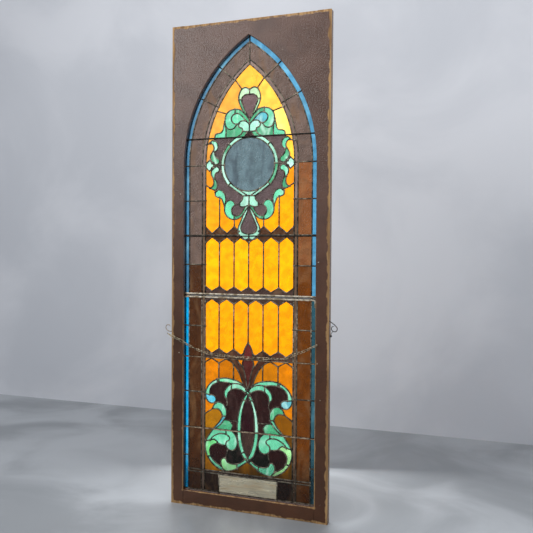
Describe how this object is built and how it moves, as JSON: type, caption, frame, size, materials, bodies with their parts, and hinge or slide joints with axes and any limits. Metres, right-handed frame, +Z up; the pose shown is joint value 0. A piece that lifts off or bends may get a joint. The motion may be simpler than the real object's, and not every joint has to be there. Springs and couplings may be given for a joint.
{
  "type": "stained glass window",
  "caption": "Tall rectangular wooden sash with a pointed arched opening, glazed with leaded coloured glass: borders, quarries and scrolling ornament, with saddle bars, a chain and side hooks.",
  "frame": {"origin": "middle of the underside of the bottom rail, halfway through the thickness of the sash", "axes": "+Z up along the height, +X to the right seen from the front, -Y towards the front face that carries the bars and the chain"},
  "size_m": [0.8574, 0.053, 2.3],
  "materials": {
    "sash_paint": "old dark brown gloss paint on wood, worn to bare wood along the outer edges",
    "lead_came": "dull grey lead came with soldered joints",
    "dark_iron": "blackened iron",
    "pale_metal": "dull pale zinc, with grime",
    "dull_brass": "dull dark brass wire",
    "blue_glass": "blue cathedral glass, uneven from pane to pane",
    "brown_glass": "brown textured glass",
    "fillet_glass": "narrow pinkish grey glass fillet",
    "amber_glass": "amber streaky glass",
    "green_glass": "pale green and mint streaky glass",
    "grey_green_glass": "mottled grey green glass",
    "purple_brown_glass": "dull purple brown hammered glass",
    "burgundy_glass": "dark burgundy hammered glass",
    "black_glass": "nearly black glass",
    "opal_glass": "white opalescent glass with ochre streaks"
  },
  "bodies": {
    "root": {"blue_border_upper": "blue_glass", "brown_border_upper": "brown_glass", "fillet_upper": "fillet_glass", "amber_field_top": "amber_glass", "amber_row_one_left": "amber_glass", "amber_row_one_right": "amber_glass", "amber_row_two": "amber_glass", "brown_quarries_left": "brown_glass", "brown_quarries_right": "brown_glass", "brown_quarries_above_rail": "brown_glass", "green_ornament_upper": "green_glass", "medallion": "grey_green_glass", "teardrop_top": "purple_brown_glass", "teardrop_bottom": "purple_brown_glass", "purple_ground_left": "purple_brown_glass", "purple_ground_right": "purple_brown_glass", "blue_border_lower_left": "blue_glass", "blue_border_lower_right": "blue_glass", "brown_border_lower_left": "brown_glass", "brown_border_lower_right": "brown_glass", "fillet_lower_left": "fillet_glass", "fillet_lower_right": "fillet_glass", "brown_quarries_below_rail": "brown_glass", "amber_row_three": "amber_glass", "amber_row_four_left": "amber_glass", "amber_row_four_right": "amber_glass", "brown_quarries_and_leaves": "brown_glass", "fleur": "brown_glass", "amber_side_left": "amber_glass", "amber_side_right": "amber_glass", "amber_corner_left": "amber_glass", "amber_corner_right": "amber_glass", "amber_wedge": "amber_glass", "green_ornament_lower": "green_glass", "vesica": "burgundy_glass", "burgundy_ground_left": "burgundy_glass", "burgundy_ground_right": "burgundy_glass", "burgundy_scroll_left": "burgundy_glass", "burgundy_scroll_right": "burgundy_glass", "dark_ground_left": "black_glass", "dark_ground_right": "black_glass", "opal_panel": "opal_glass", "brown_square_left": "brown_glass", "brown_square_right": "brown_glass", "upper_leadwork": "lead_came", "lower_leadwork": "lead_came", "upper_rail": "pale_metal", "lower_rail": "pale_metal", "saddle_bar_top": "dark_iron", "saddle_bar_upper": "dark_iron", "saddle_bar_middle": "pale_metal", "saddle_bar_lower": "pale_metal", "left_hook": "dull_brass", "right_hook": "dark_iron", "chain_screw": "pale_metal", "chain": "dull_brass", "right_stile": "sash_paint", "left_stile": "sash_paint", "head_board": "sash_paint", "bottom_rail": "sash_paint"}
  },
  "joints": []
}
